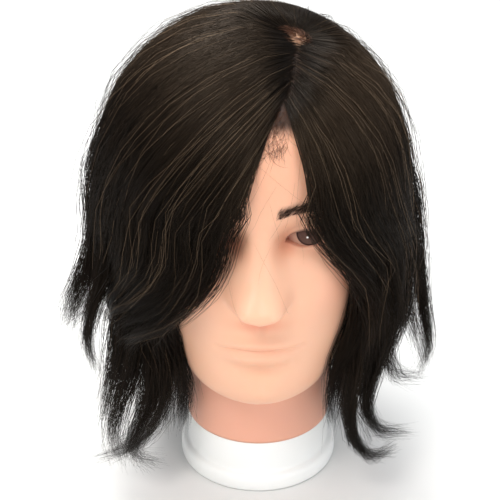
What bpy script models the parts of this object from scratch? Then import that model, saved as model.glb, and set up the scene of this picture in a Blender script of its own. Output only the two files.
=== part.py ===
import math

import bmesh
import bpy
import numpy as np

# Overall sizes, metres. The mannequin faces -Y, and its own left side is +X.
baseHeight = 0.0388
baseStep = 0.0001
flangeStep = 0.0056
flangeHeight = 0.0137
flangeShoulder = 0.0046
flangeRound = 0.0022
neckRadius = 0.0525
chinHeight = 0.1034
headTop = 0.327
skullHalfWidth = 0.076
foreheadReach = 0.100
backReach = 0.095
chinReach = 0.0925
noseReach = 0.0265
earReach = 0.010
crownSetBack = 0.006

# The skin, its filling and the plastic inside the neck.
skinWall = 0.0040
faceWall = 0.0140
jawSetUp = 0.0110
fitGap = 0.0005
spigotGap = 0.0016
baseWall = 0.0026
deckThickness = 0.0030
spigotHeight = 0.0080
spigotWall = 0.0030
footRingWidth = 0.0128
insertRadius = 0.0400
insertHeight = 0.0560
ribThickness = 0.0024
ribCount = 4

# The tapered socket that goes over a clamp's post.
socketMouthRadius = 0.0138
socketEndRadius = 0.0120
socketWall = 0.0024
socketDepth = 0.0900
socketLip = 0.0030
hubWall = 0.0026

# Screws that hold the base to the neck insert.
screwCount = 4
screwCircle = 0.0300
screwShank = 0.0020
screwHead = 0.0038
screwLength = 0.0160

# Hair, in the sections a stylist parts it into.
hairRise = 0.0110
hairHalfWidth = 0.1265
hairBack = 0.1270
hairFront = 0.1065
hairGap = 0.0030
hairThin = 0.0080
hairLeast = 0.0035
hairThick = 0.0180
hairTips = 0.0140
sectionGap = 0.0006
partAngle = 9.0
fringeAngle = 38.0
templeAngle = 72.0
sideAngle = 108.0
crownDrop = 0.0150
napeHeight = 0.150

# Brows.
browInner = 0.0095
browOuter = 0.0440
browDepth = 0.0050
browThickness = 0.0008
browGap = 0.0008

# Where the face's features sit, as fractions from chin to top of head.
faceSpan = headTop - chinHeight
equatorHeight = chinHeight + 0.633 * faceSpan
browHeight = chinHeight + 0.615 * faceSpan
eyeHeight = chinHeight + 0.520 * faceSpan
noseTipHeight = chinHeight + 0.360 * faceSpan
noseBaseHeight = chinHeight + 0.318 * faceSpan
mouthHeight = chinHeight + 0.213 * faceSpan
domePower = 2.15
earHeight = noseTipHeight + 0.024
earClear = 1.45 * earReach
baseRadius = neckRadius + baseStep
flangeRadius = baseRadius + flangeStep
footRingInner = flangeRadius - footRingWidth
hairTop = headTop + hairRise
crownHeight = headTop - crownDrop


def clearScene():
    for item in list(bpy.data.objects):
        bpy.data.objects.remove(item, do_unlink=True)


def makeCollection(name):
    collection = bpy.data.collections.new(name)
    bpy.context.scene.collection.children.link(collection)
    return collection


def makeMaterial(name, colour, roughness, metallic=0.0):
    material = bpy.data.materials.new(name)
    material.use_nodes = True
    shader = material.node_tree.nodes["Principled BSDF"]
    shader.inputs["Base Color"].default_value = (*colour, 1.0)
    shader.inputs["Roughness"].default_value = roughness
    shader.inputs["Metallic"].default_value = metallic
    material.diffuse_color = (*colour, 1.0)
    return material


def objectFrom(bm, name, collection, material=None):
    bmesh.ops.recalc_face_normals(bm, faces=bm.faces[:])
    if bm.calc_volume(signed=True) < 0.0:
        bmesh.ops.reverse_faces(bm, faces=bm.faces[:])
    mesh = bpy.data.meshes.new(name)
    bm.to_mesh(mesh)
    bm.free()
    item = bpy.data.objects.new(name, mesh)
    collection.objects.link(item)
    if material is not None:
        mesh.materials.append(material)
    return item


def smoothCurve(knots, at):
    """Monotone cubic through (position, value) pairs, so nothing overshoots."""
    xs = np.array([knot[0] for knot in knots], dtype=float)
    ys = np.array([knot[1] for knot in knots], dtype=float)
    steps = np.diff(xs)
    slopes = np.diff(ys) / steps
    tangents = np.zeros(len(xs))
    tangents[0] = slopes[0]
    tangents[-1] = slopes[-1]
    for i in range(1, len(xs) - 1):
        if slopes[i - 1] * slopes[i] > 0.0:
            tangents[i] = 2.0 * slopes[i - 1] * slopes[i] / (slopes[i - 1] + slopes[i])
    at = min(max(at, xs[0]), xs[-1])
    i = min(int(np.searchsorted(xs, at, side="right")) - 1, len(xs) - 2)
    u = (at - xs[i]) / steps[i]
    rise = ys[i] * (2 * u ** 3 - 3 * u ** 2 + 1) + ys[i + 1] * (3 * u ** 2 - 2 * u ** 3)
    run = tangents[i] * (u ** 3 - 2 * u ** 2 + u) + tangents[i + 1] * (u ** 3 - u ** 2)
    return rise + run * steps[i]


def bump(x, z, cx, cz, sx, sz):
    return math.exp(-((x - cx) / sx) ** 2 - ((z - cz) / sz) ** 2)


def faceRelief(x, z):
    """Forward relief of the face over the plain head, by place on the face."""
    side = abs(x)
    relief = 0.0032 * bump(side, z, 0.0, chinHeight + 0.013, 0.016, 0.010)
    relief -= 0.0030 * bump(side, z, 0.0, mouthHeight - 0.018, 0.020, 0.006)
    lips = math.exp(-(side / 0.021) ** 4)
    relief += 0.0042 * lips * math.exp(-((z - mouthHeight + 0.006) / 0.005) ** 2)
    relief += 0.0040 * lips * math.exp(-((z - mouthHeight - 0.006) / 0.005) ** 2)
    relief += 0.0034 * bump(side, z, 0.043, eyeHeight - 0.032, 0.018, 0.020)
    relief += 0.0026 * bump(side, z, 0.026, browHeight, 0.017, 0.008)
    relief -= 0.0080 * bump(side, z, 0.030, eyeHeight + 0.002, 0.015, 0.011)
    relief += 0.0020 * bump(side, z, 0.031, eyeHeight, 0.010, 0.007)
    ridge = smoothCurve(
        (
            (noseBaseHeight - 0.004, 0.0),
            (noseBaseHeight + 0.003, 0.50 * noseReach),
            (noseTipHeight, noseReach),
            (noseTipHeight + 0.008, 0.86 * noseReach),
            (eyeHeight, 0.34 * noseReach),
            (browHeight, 0.0),
        ),
        z,
    )
    spread = smoothCurve(((noseTipHeight, 0.0105), (eyeHeight, 0.0075)), z)
    relief += ridge * math.exp(-(side / spread) ** 2.4)
    relief += 0.0090 * bump(side, z, 0.012, noseBaseHeight + 0.006, 0.006, 0.007)
    return relief


def headRadius(angle, z, relief=True):
    """Radius and centre of the head at one angle from the front and one height."""
    lift = max(0.0, (z - equatorHeight) / (headTop - equatorHeight))
    dome = max(0.0, 1.0 - lift ** domePower) ** (1.0 / domePower)
    level = min(z, equatorHeight)
    width = smoothCurve(
        (
            (baseHeight, neckRadius),
            (chinHeight - 0.020, neckRadius),
            (chinHeight + 0.016, 0.81 * skullHalfWidth),
            (mouthHeight, 0.90 * skullHalfWidth),
            (noseTipHeight, 0.957 * skullHalfWidth),
            (eyeHeight, 0.985 * skullHalfWidth),
            (equatorHeight, skullHalfWidth),
        ),
        level,
    )
    front = smoothCurve(
        (
            (baseHeight, neckRadius),
            (chinHeight - 0.024, neckRadius),
            (chinHeight - 0.009, neckRadius + 0.016),
            (chinHeight, chinReach - 0.003),
            (chinHeight + 0.013, chinReach + 0.002),
            (mouthHeight - 0.018, chinReach + 0.006),
            (mouthHeight, chinReach + 0.009),
            (noseBaseHeight, chinReach + 0.0105),
            (eyeHeight, 0.950 * foreheadReach),
            (equatorHeight, foreheadReach),
        ),
        level,
    )
    back = smoothCurve(
        (
            (baseHeight, neckRadius),
            (chinHeight - 0.020, neckRadius + 0.001),
            (mouthHeight, 0.74 * backReach),
            (noseTipHeight + 0.010, 0.91 * backReach),
            (equatorHeight, backReach),
        ),
        level,
    )
    centre = -crownSetBack * lift ** 2
    ahead = math.cos(angle) > 0.0
    power = 2.0
    if ahead:
        power = smoothCurve(
            (
                (baseHeight, 2.0),
                (chinHeight, 1.86),
                (mouthHeight, 2.0),
                (noseTipHeight, 2.2),
                (equatorHeight, 2.3),
            ),
            level,
        )
        power = power + (2.0 - power) * lift
    depth = (front if ahead else back) * dome
    width = width * dome
    if dome <= 1e-6:
        return 0.0, centre
    across = (abs(math.sin(angle)) / width) ** power
    along = (abs(math.cos(angle)) / depth) ** power
    radius = (across + along) ** (-1.0 / power)
    if relief:
        ear = ((radius * math.cos(angle) + 0.004) / 0.017) ** 2
        ear = ear + ((z - earHeight) / 0.030) ** 2
        radius += earReach * max(0.0, 1.0 - ear) ** 0.6 * (abs(math.sin(angle)) > 0.8)
    return radius, centre


def headPoint(angle, z, out=0.0, relief=True):
    """A place on the head; out pushes it off the surface."""
    radius, centre = headRadius(angle, z, relief)
    radius += out
    x = radius * math.sin(angle)
    forward = centre + radius * math.cos(angle)
    if relief and math.cos(angle) > 0.0 and z > chinHeight - 0.01:
        edge = min(1.0, math.cos(angle) / 0.35)
        forward += faceRelief(x, z) * edge * edge * (3.0 - 2.0 * edge)
    return x, -forward, z


def rowHeights(bottom, top, domeRows, faceRows, neckRows):
    """Row heights from the crown down: even steps of turn over the dome, then even drops."""
    heights = [top]
    for i in range(1, domeRows + 1):
        turn = 0.5 * math.pi * (1.0 - i / domeRows)
        heights.append(equatorHeight + (top - equatorHeight) * math.sin(turn))
    for i in range(1, faceRows + 1):
        heights.append(equatorHeight + (chinHeight - 0.006 - equatorHeight) * i / faceRows)
    for i in range(1, neckRows + 1):
        heights.append(chinHeight - 0.006 + (bottom - chinHeight + 0.006) * i / neckRows)
    return heights


def headSolid(columns, heights, place, facing):
    """A sphere whose rings become the head's levels; facing crowds its columns to the front."""
    bm = bmesh.new()
    rings = len(heights)
    bmesh.ops.create_uvsphere(bm, u_segments=columns, v_segments=rings, radius=1.0)
    for vert in bm.verts:
        ring = int(round(math.acos(max(-1.0, min(1.0, vert.co.z))) / math.pi * rings))
        angle = math.atan2(vert.co.x, -vert.co.y)
        angle -= facing * math.sin(angle)
        if ring == rings:
            vert.co = (0.0, 0.0, heights[-1])
        elif ring == 0:
            vert.co = (0.0, crownSetBack, heights[0])
        else:
            vert.co = place(angle, heights[ring])
    return bm


def latheObject(name, collection, material, profile, steps):
    """Turn a profile held at +X about the vertical axis."""
    mesh = bpy.data.meshes.new(name)
    edges = [(i, i + 1) for i in range(len(profile) - 1)]
    edges.append((len(profile) - 1, 0))
    mesh.from_pydata([(r, 0.0, z) for r, z in profile], edges, [])
    item = bpy.data.objects.new(name, mesh)
    collection.objects.link(item)
    if material is not None:
        mesh.materials.append(material)
    turn = item.modifiers.new("Turn", "SCREW")
    turn.axis = "Z"
    turn.angle = 2.0 * math.pi
    turn.steps = steps
    turn.render_steps = steps
    turn.use_merge_vertices = True
    turn.merge_threshold = 0.00005
    return item


def drumObject(name, collection, radius, low, high, segments, at=(0.0, 0.0), material=None):
    bm = bmesh.new()
    bmesh.ops.create_cone(
        bm, cap_ends=True, segments=segments, radius1=radius, radius2=radius, depth=high - low
    )
    for vert in bm.verts:
        vert.co.x += at[0]
        vert.co.y += at[1]
        vert.co.z += 0.5 * (low + high)
    return objectFrom(bm, name, collection, material)


def addBoolean(item, other, operation):
    step = item.modifiers.new(operation.title(), "BOOLEAN")
    step.operation = operation
    step.solver = "EXACT"
    step.object = other


def innerPlace(extra):
    """The filling's surface: a plainer head, farther in behind the face."""

    def place(angle, z):
        forward = max(0.0, math.cos(angle))
        rise = min(1.0, max(0.0, (z - chinHeight + 0.045) / 0.03))
        wall = skinWall + (faceWall - skinWall) * forward * rise
        lift = max(0.0, (z - equatorHeight) / (headTop - equatorHeight))
        jaw = min(1.0, max(0.0, (noseTipHeight - z) / 0.03)) * forward
        radius, centre = headRadius(angle, max(z - jawSetUp * jaw, baseHeight), relief=False)
        radius = max(radius - wall - extra, 0.002)
        x = radius * math.sin(angle)
        return x, -(centre + radius * math.cos(angle)), z - (skinWall + extra) * lift

    return place


def innerSolid(name, collection, extra, material=None):
    heights = rowHeights(baseHeight - 0.010, headTop, 6, 8, 3)
    bm = headSolid(22, heights, innerPlace(extra), 0.25)
    for vert in bm.verts:
        if vert.co.z > headTop - 0.0001:
            vert.co.z = headTop - skinWall - extra
    bmesh.ops.triangulate(bm, faces=bm.faces[:], quad_method="FIXED")
    return objectFrom(bm, name, collection, material)


def buildSkin(parts, cutters, material):
    heights = rowHeights(baseHeight + fitGap, headTop, 9, 25, 5)
    bm = headSolid(48, heights, headPoint, 0.60)
    skin = objectFrom(bm, "skin_shell", parts, material)
    hollow = innerSolid("cut_skin_hollow", cutters, 0.0)
    addBoolean(skin, hollow, "DIFFERENCE")
    return skin


def buildCore(parts, cutters, material):
    bottom = baseHeight + spigotHeight + fitGap
    core = innerSolid("foam_core", parts, fitGap, material)
    high = baseHeight + fitGap + insertHeight + fitGap
    foot = drumObject("cut_core_foot", cutters, 2.0 * neckRadius, 0.0, bottom, 32)
    addBoolean(core, foot, "DIFFERENCE")
    pocket = drumObject(
        "cut_core_pocket", cutters, insertRadius + fitGap, bottom - 0.01, high, 32
    )
    addBoolean(core, pocket, "DIFFERENCE")
    return core


def screwPlaces():
    for i in range(screwCount):
        turn = 2.0 * math.pi * (i + 0.5) / screwCount
        yield i + 1, screwCircle * math.sin(turn), -screwCircle * math.cos(turn)


def socketOuter():
    return socketMouthRadius + socketWall


def deckTop():
    return baseHeight + 0.0005


def buildInsert(parts, cutters, material):
    low = deckTop() + fitGap
    high = baseHeight + fitGap + insertHeight
    insert = drumObject("neck_insert", parts, insertRadius, low, high, 32, material=material)
    bore = drumObject(
        "cut_insert_bore", cutters, socketOuter() + fitGap, low - 0.01, high + 0.01, 32
    )
    addBoolean(insert, bore, "DIFFERENCE")
    for i, x, y in screwPlaces():
        pilot = drumObject(
            f"cut_insert_pilot_{i}", cutters, screwShank + 0.0004,
            low - 0.01, deckTop() - deckThickness + screwLength + 0.002, 12, (x, y)
        )
        addBoolean(insert, pilot, "DIFFERENCE")
    return insert


def buildCollar(parts, cutters, material):
    """Base: flange, near-straight wall, shoulder for the skin, spigot and a deck with a hub."""
    spigot = neckRadius - skinWall - spigotGap
    hub = socketOuter() + fitGap
    top = deckTop()
    under = top - deckThickness
    hubLow = 0.0045
    profile = [
        (spigot - spigotWall, baseHeight + spigotHeight),
        (spigot, baseHeight + spigotHeight),
        (spigot, baseHeight),
        (neckRadius - 0.0006, baseHeight),
        (neckRadius - 0.0001, baseHeight - 0.0006),
        (baseRadius, flangeHeight + 0.0010),
        (baseRadius + 0.0006, flangeHeight),
        (flangeRadius - flangeShoulder * 0.50, flangeHeight - flangeShoulder * 0.20),
        (flangeRadius - flangeShoulder * 0.13, flangeHeight - flangeShoulder * 0.55),
        (flangeRadius, flangeHeight - flangeShoulder),
        (flangeRadius, flangeRound),
        (flangeRadius - flangeRound * 0.3, flangeRound * 0.3),
        (flangeRadius - flangeRound, 0.0),
        (footRingInner, 0.0),
        (footRingInner, 0.0030),
        (baseRadius - baseWall, 0.0030),
        (neckRadius - baseWall, under),
        (hub + hubWall, under),
        (hub + hubWall, hubLow),
        (hub, hubLow),
        (hub, top),
        (spigot - spigotWall, top),
    ]
    collar = latheObject("base_collar", parts, material, profile, 48)
    for i in range(ribCount):
        turn = 2.0 * math.pi * i / ribCount
        inner = hub + 0.5 * hubWall
        outer = neckRadius - 0.5 * baseWall
        bm = bmesh.new()
        bmesh.ops.create_cube(bm, size=1.0)
        for vert in bm.verts:
            reach = inner + (outer - inner) * (vert.co.x + 0.5)
            side = ribThickness * vert.co.y
            vert.co = (
                reach * math.cos(turn) - side * math.sin(turn),
                reach * math.sin(turn) + side * math.cos(turn),
                0.020 + (under + 0.001 - 0.020) * (vert.co.z + 0.5),
            )
        rib = objectFrom(bm, f"cut_rib_{i + 1}", cutters)
        addBoolean(collar, rib, "UNION")
    for i, x, y in screwPlaces():
        hole = drumObject(
            f"cut_deck_hole_{i}", cutters, screwShank + 0.0004, under - 0.002, top + 0.002, 12, (x, y)
        )
        addBoolean(collar, hole, "DIFFERENCE")
    return collar


def buildSocket(parts, material):
    outer = socketOuter()
    profile = [
        (outer, socketDepth),
        (outer, 0.0040),
        (outer + socketLip, 0.0040),
        (outer + socketLip, 0.0012),
        (socketMouthRadius + 0.0010, 0.0012),
        (socketMouthRadius, 0.0030),
        (socketEndRadius, socketDepth),
    ]
    return latheObject("clamp_socket", parts, material, profile, 32)


def buildScrews(parts, cutters, material):
    head = deckTop() - deckThickness
    for i, x, y in screwPlaces():
        screw = drumObject(
            f"base_screw_{i}", parts, screwHead, head - 0.0003 - 0.0024, head - 0.0003, 16, (x, y),
            material
        )
        shank = drumObject(
            f"cut_shank_{i}", cutters, screwShank, head - 0.0010, head + screwLength - 0.003, 12,
            (x, y)
        )
        addBoolean(screw, shank, "UNION")


def blockObject(name, collection, material, cuts, place):
    """A cube cut into an even grid, each corner then moved by place(u, v, w)."""
    bm = bmesh.new()
    bmesh.ops.create_cube(bm, size=1.0)
    for axis in range(3):
        if cuts[axis] < 2:
            continue
        along = []
        for edge in bm.edges:
            run = edge.verts[1].co - edge.verts[0].co
            if abs(run[axis]) > 0.9:
                along.append(edge)
        bmesh.ops.subdivide_edges(bm, edges=along, cuts=cuts[axis] - 1, use_grid_fill=True)
    for vert in bm.verts:
        u = min(1.0, max(0.0, vert.co.x + 0.5))
        v = min(1.0, max(0.0, vert.co.y + 0.5))
        w = min(1.0, max(0.0, vert.co.z + 0.5))
        vert.co = place(u, v, w)
    return objectFrom(bm, name, collection, material)


def buildBrow(parts, material, name, side):
    def place(u, v, w):
        x = browInner + (browOuter - browInner) * u
        arch = 0.0030 * math.sin(math.pi * min(1.0, u * 1.15)) - 0.0020 * u
        tall = browDepth * (1.0 - 0.75 * u ** 2)
        z = browHeight + arch + (v - 0.5) * tall
        angle = math.asin(min(0.95, x / foreheadReach))
        for _ in range(12):
            px, py, _ = headPoint(angle, z)
            angle += (x - px) / foreheadReach
        px, py, _ = headPoint(angle, z)
        return side * px, py - browGap - browThickness * w, z

    return blockObject(name, parts, material, (6, 2, 1), place)


def hairReach(angle, z):
    """Outer reach of the hair from the head's axis at one angle and height."""
    lift = max(0.0, (z - equatorHeight) / (hairTop - equatorHeight))
    dome = max(0.0, 1.0 - lift ** 2.1) ** (1.0 / 2.1)
    level = min(z / equatorHeight, 1.0)
    swell = smoothCurve(
        ((0.0, 0.74), (0.12, 0.84), (0.27, 0.94), (0.43, 1.0), (0.63, 0.935), (0.87, 0.845),
         (1.0, 0.795)),
        level,
    )
    behind = smoothCurve(
        ((0.0, 0.78), (0.16, 0.90), (0.43, 1.0), (0.65, 0.975), (1.0, 0.92)), level
    )
    ahead = smoothCurve(((0.0, 0.80), (0.16, 0.90), (0.49, 0.98), (0.82, 1.0)), level)
    width = hairHalfWidth * swell * dome
    depth = (hairFront * ahead if math.cos(angle) > 0.0 else hairBack * behind) * dome
    if dome <= 1e-6:
        return 0.0
    power = 2.2
    across = (abs(math.sin(angle)) / width) ** power
    along = (abs(math.cos(angle)) / depth) ** power
    return (across + along) ** (-1.0 / power)


def hairPoint(angle, z, w):
    """A place in the hair: w is 0 against the head and 1 on the outside."""
    reach = hairReach(angle, z)
    lift = max(0.0, (z - equatorHeight) / (hairTop - equatorHeight))
    innerTop = headTop + hairGap
    innerZ = z
    headZ = z
    if lift > 0.0:
        innerZ = equatorHeight + lift * (innerTop - equatorHeight)
        headZ = min(equatorHeight + lift * (headTop - equatorHeight), headTop - 0.0005)
    ahead = max(0.0, math.cos(angle))
    skull, centre = headRadius(angle, headZ, relief=False)
    skull += hairGap + (browGap + browThickness + 0.002) * min(1.0, ahead / 0.7)
    beside = abs(math.sin(angle)) > 0.6
    skull += earClear * beside * bump(skull * math.cos(angle), headZ, -0.004, earHeight, 0.026, 0.042)
    hung = z / equatorHeight
    thick = smoothCurve(((0.0, hairThin), (0.61, hairThick), (1.02, 3.4 * hairThick)), hung)
    if ahead > 0.78:
        thick = min(thick, hairThin)
    inner = max(skull, reach - thick)
    reach = max(reach, inner + hairLeast)
    radius = inner + (reach - inner) * w
    height = innerZ + (z - innerZ) * w
    return radius * math.sin(angle), -(centre + radius * math.cos(angle)), height


def arcOf(z):
    """How far down the hair's outer surface a height lies, in even steps over the dome."""
    rise = hairTop - equatorHeight
    if z <= equatorHeight:
        return z - equatorHeight
    return rise * math.asin(min(1.0, (z - equatorHeight) / rise))


def heightOf(run):
    rise = hairTop - equatorHeight
    if run <= 0.0:
        return equatorHeight + run
    return equatorHeight + rise * math.sin(run / rise)


def sectionObject(name, parts, material, angles, heights, cuts):
    """One section of hair between two angles, from its upper height down to its tips."""

    def place(u, v, w):
        degrees = angles[0] + (angles[1] - angles[0]) * u
        angle = math.radians(degrees)
        top = heights[0]
        low = heights[1](degrees)
        run = arcOf(top) + (arcOf(low) - arcOf(top)) * v
        z = heightOf(run)
        return hairPoint(angle, z, w)

    return blockObject(name, parts, material, cuts, place)


def buildCrown(parts, material):
    """The cap of hair round the crown, closed inside and out."""
    turnLow = math.asin((crownHeight + sectionGap - equatorHeight) / (hairTop - equatorHeight))
    rows = 5
    bm = bmesh.new()
    bmesh.ops.create_uvsphere(bm, u_segments=28, v_segments=2 * rows + 2, radius=1.0)
    count = 2 * rows + 2
    for vert in bm.verts:
        ring = int(round(math.acos(max(-1.0, min(1.0, vert.co.z))) / math.pi * count))
        angle = math.atan2(vert.co.x, -vert.co.y)
        outside = ring <= rows
        step = ring if outside else count - ring
        share = min(1.0, step / rows)
        turn = 0.5 * math.pi + (turnLow - 0.5 * math.pi) * share
        if ring == rows + 1:
            turn = turnLow
        z = equatorHeight + (hairTop - equatorHeight) * math.sin(turn)
        if ring == 0:
            vert.co = (0.0, crownSetBack, hairTop)
        elif ring == count:
            vert.co = (0.0, crownSetBack, headTop + hairGap)
        elif ring == rows + 1:
            vert.co = hairPoint(angle, z, 0.5)
        else:
            vert.co = hairPoint(angle, z, 1.0 if outside else 0.0)
    return objectFrom(bm, "hair_crown", parts, material)


def buildHair(parts, makeHair):
    """Fringe, temple, side, back and nape on each side of the part, then the crown."""
    gap = math.degrees(sectionGap / 0.09)

    def waved(base, swing):
        return lambda degrees: base + swing * math.sin(math.radians(degrees * 5.0))

    def fringeRight(degrees):
        knots = ((-fringeAngle, 0.289), (-22.0, 0.365), (-14.0, 0.454), (-10.0, 0.575),
                 (0.0, 0.727), (partAngle, 0.843))
        return chinHeight + faceSpan * smoothCurve(knots, degrees)

    def fringeLeft(degrees):
        knots = ((partAngle, 0.843), (14.0, 0.691), (23.0, 0.530), (30.0, 0.414),
                 (fringeAngle, 0.298))
        return chinHeight + faceSpan * smoothCurve(knots, degrees)

    rim = crownHeight
    plans = []
    plans.append(("fringe_right", (-fringeAngle, partAngle - gap), (rim, fringeRight), (8, 12, 1)))
    plans.append(("fringe_left", (partAngle, fringeAngle), (rim, fringeLeft), (6, 12, 1)))
    for side, sign in (("right", -1.0), ("left", 1.0)):
        tips = waved(hairTips + 0.008, 0.007)
        plans.append((f"temple_{side}", (sign * (fringeAngle + gap), sign * templeAngle),
                      (rim, tips), (6, 16, 1)))
        plans.append((f"side_{side}", (sign * (templeAngle + gap), sign * sideAngle),
                      (rim, tips), (6, 16, 1)))
        plans.append((f"back_{side}", (sign * (sideAngle + gap), sign * (180.0 - gap)),
                      (rim, waved(napeHeight + sectionGap, 0.0)), (10, 10, 1)))
        plans.append((f"nape_{side}", (sign * (sideAngle + gap), sign * (180.0 - gap)),
                      (napeHeight, tips), (10, 8, 1)))
    for name, angles, heights, cuts in plans:
        sectionObject(f"hair_{name}", parts, makeHair(name), angles, heights, cuts)
    buildCrown(parts, makeHair("crown"))


def buildAll():
    clearScene()
    parts = makeCollection("mannequin_training_head")
    cutters = makeCollection("cutters")
    buildSkin(parts, cutters, makeMaterial("skin", (0.80, 0.50, 0.37), 0.48))
    buildCore(parts, cutters, makeMaterial("foam", (0.75, 0.68, 0.50), 0.9))
    buildInsert(parts, cutters, makeMaterial("insert_plastic", (0.55, 0.55, 0.53), 0.5))
    buildCollar(parts, cutters, makeMaterial("base_plastic", (0.86, 0.86, 0.83), 0.38))
    buildSocket(parts, makeMaterial("socket_plastic", (0.70, 0.70, 0.68), 0.45))
    buildScrews(parts, cutters, makeMaterial("screw_steel", (0.60, 0.60, 0.60), 0.35, 1.0))
    buildBrow(parts, makeMaterial("brow_hair_left", (0.04, 0.025, 0.018), 0.7), "brow_left", 1.0)
    buildBrow(parts, makeMaterial("brow_hair_right", (0.04, 0.025, 0.018), 0.7), "brow_right", -1.0)
    buildHair(parts, lambda name: makeMaterial("hair_" + name, (0.022, 0.014, 0.011), 0.5))
    for item in cutters.objects:
        item.hide_render = True
        item.display_type = "WIRE"


buildAll()
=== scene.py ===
import math

import bmesh
import bpy
import numpy as np
from mathutils import Euler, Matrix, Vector
from mathutils.bvhtree import BVHTree


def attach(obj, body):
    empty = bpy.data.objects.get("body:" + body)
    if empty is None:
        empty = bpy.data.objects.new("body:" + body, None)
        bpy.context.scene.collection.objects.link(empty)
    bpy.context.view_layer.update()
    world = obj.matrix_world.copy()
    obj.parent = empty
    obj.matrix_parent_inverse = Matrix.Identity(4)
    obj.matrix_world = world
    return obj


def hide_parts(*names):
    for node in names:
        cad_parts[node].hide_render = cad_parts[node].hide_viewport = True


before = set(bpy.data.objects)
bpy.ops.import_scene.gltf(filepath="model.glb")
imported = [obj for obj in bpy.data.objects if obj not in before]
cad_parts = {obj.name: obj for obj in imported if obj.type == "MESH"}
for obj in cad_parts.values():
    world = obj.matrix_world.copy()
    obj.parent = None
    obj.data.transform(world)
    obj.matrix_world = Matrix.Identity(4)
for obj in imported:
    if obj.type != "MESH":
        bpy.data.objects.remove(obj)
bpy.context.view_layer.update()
print("stage: frame loaded")

room = {
    "floorSize": 6.0,
    "floorDrop": 0.0004,
    "floorColour": (0.76, 0.755, 0.74),
    "floorRoughness": 0.75,
    "worldColour": (0.93, 0.96, 1.0),
    "worldStrength": 0.80,
    "cameraAt": (-0.0060, -0.700, 0.522),
    "cameraDown": 26.9,
    "lens": 80.5,
    "lightsAimAt": (0.0, 0.0, 0.2),
    # Place, width, power and colour of each light.
    "lights": {
        "key": ((-0.70, -1.20, 1.85), 0.95, 22.0, (1.0, 0.97, 0.93)),
        "fill": ((1.3, -1.1, 0.9), 1.6, 9.0, (0.93, 0.96, 1.0)),
        "top": ((-0.25, 0.45, 1.9), 1.4, 40.0, (1.0, 0.99, 0.97)),
    },
}


def placeObject(name, data):
    item = bpy.data.objects.new(name, data)
    bpy.context.scene.collection.objects.link(item)
    return item


def meshFrom(bm, name):
    mesh = bpy.data.meshes.new(name)
    bm.to_mesh(mesh)
    bm.free()
    return mesh


def newMaterial(name):
    material = bpy.data.materials.new(name)
    material.use_nodes = True
    return material


def areaLight(name, place, size, power, colour):
    data = bpy.data.lights.new(name, "AREA")
    data.shape = "DISK"
    data.size = size
    data.energy = power
    data.color = colour
    light = placeObject(name, data)
    light.location = place
    toward = Vector(room["lightsAimAt"]) - Vector(place)
    light.rotation_euler = toward.to_track_quat("-Z", "Y").to_euler()


def makeRoom():
    scene = bpy.context.scene
    camera = placeObject("camera", bpy.data.cameras.new("camera"))
    camera.data.sensor_width = 36.0
    camera.data.lens = room["lens"]
    camera.data.clip_start = 0.01
    camera.location = room["cameraAt"]
    camera.rotation_euler = Euler((math.radians(90.0 - room["cameraDown"]), 0.0, 0.0))
    scene.camera = camera
    scene.view_settings.view_transform = "Standard"
    for name, facts in room["lights"].items():
        areaLight(name, *facts)
    scene.world = bpy.data.worlds.new("studio")
    scene.world.use_nodes = True
    sky = scene.world.node_tree.nodes["Background"].inputs
    sky["Color"].default_value = (*room["worldColour"], 1.0)
    sky["Strength"].default_value = room["worldStrength"]
    bm = bmesh.new()
    bmesh.ops.create_grid(bm, x_segments=2, y_segments=2, size=0.5 * room["floorSize"])
    floor = placeObject("floor", meshFrom(bm, "floor"))
    floor.location.z = -room["floorDrop"]
    material = newMaterial("floorPaper")
    shader = material.node_tree.nodes["Principled BSDF"]
    shader.inputs["Base Color"].default_value = (*room["floorColour"], 1.0)
    shader.inputs["Roughness"].default_value = room["floorRoughness"]
    floor.data.materials.append(material)


makeRoom()
print("stage: room")


def inMetres(*rows, units=1000.0):
    # Rows given in millimetres, or each column in its own units to the metre.
    return np.array(rows) / units


def smoothCurve(knots, at, spread=0.0025):
    # A monotone curve through the knots, softened along its length by spread.
    knots = np.array(knots, dtype=float)
    xs = knots[:, 0]
    ys = knots[:, 1]
    steps = np.diff(xs)
    slopes = np.diff(ys) / steps
    tangents = np.zeros(len(xs))
    tangents[0] = slopes[0]
    tangents[-1] = slopes[-1]
    for i in range(1, len(xs) - 1):
        if slopes[i - 1] * slopes[i] > 0.0:
            tangents[i] = 2.0 * slopes[i - 1] * slopes[i] / (slopes[i - 1] + slopes[i])
    grid = np.linspace(xs[0], xs[-1], 700)
    i = np.clip(np.searchsorted(xs, grid, side="right") - 1, 0, len(xs) - 2)
    u = (grid - xs[i]) / steps[i]
    values = ys[i] * (2 * u**3 - 3 * u**2 + 1) + ys[i + 1] * (3 * u**2 - 2 * u**3)
    values += steps[i] * (tangents[i] * (u**3 - 2 * u**2 + u) + tangents[i + 1] * (u**3 - u**2))
    if spread > 0.0:
        pitch = grid[1] - grid[0]
        reach = max(1, int(3.0 * spread / pitch))
        kernel = np.exp(-0.5 * (np.arange(-reach, reach + 1) * pitch / spread) ** 2)
        kernel /= kernel.sum()
        padded = np.concatenate([
            2 * values[0] - values[reach:0:-1], values, 2 * values[-1] - values[-2:-reach - 2:-1]
        ])
        values = np.convolve(padded, kernel, mode="valid")
    return np.interp(at, grid, values)


def smoothStep(low, high, at):
    u = np.clip((at - low) / (high - low), 0.0, 1.0)
    return u * u * (3.0 - 2.0 * u)


def hump(x, z, cx, cz, sx, sz):
    return np.exp(-(((x - cx) / sx) ** 2) - ((z - cz) / sz) ** 2)


def softMax(a, b, blend):
    return blend * np.logaddexp(a / blend, b / blend)


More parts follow.
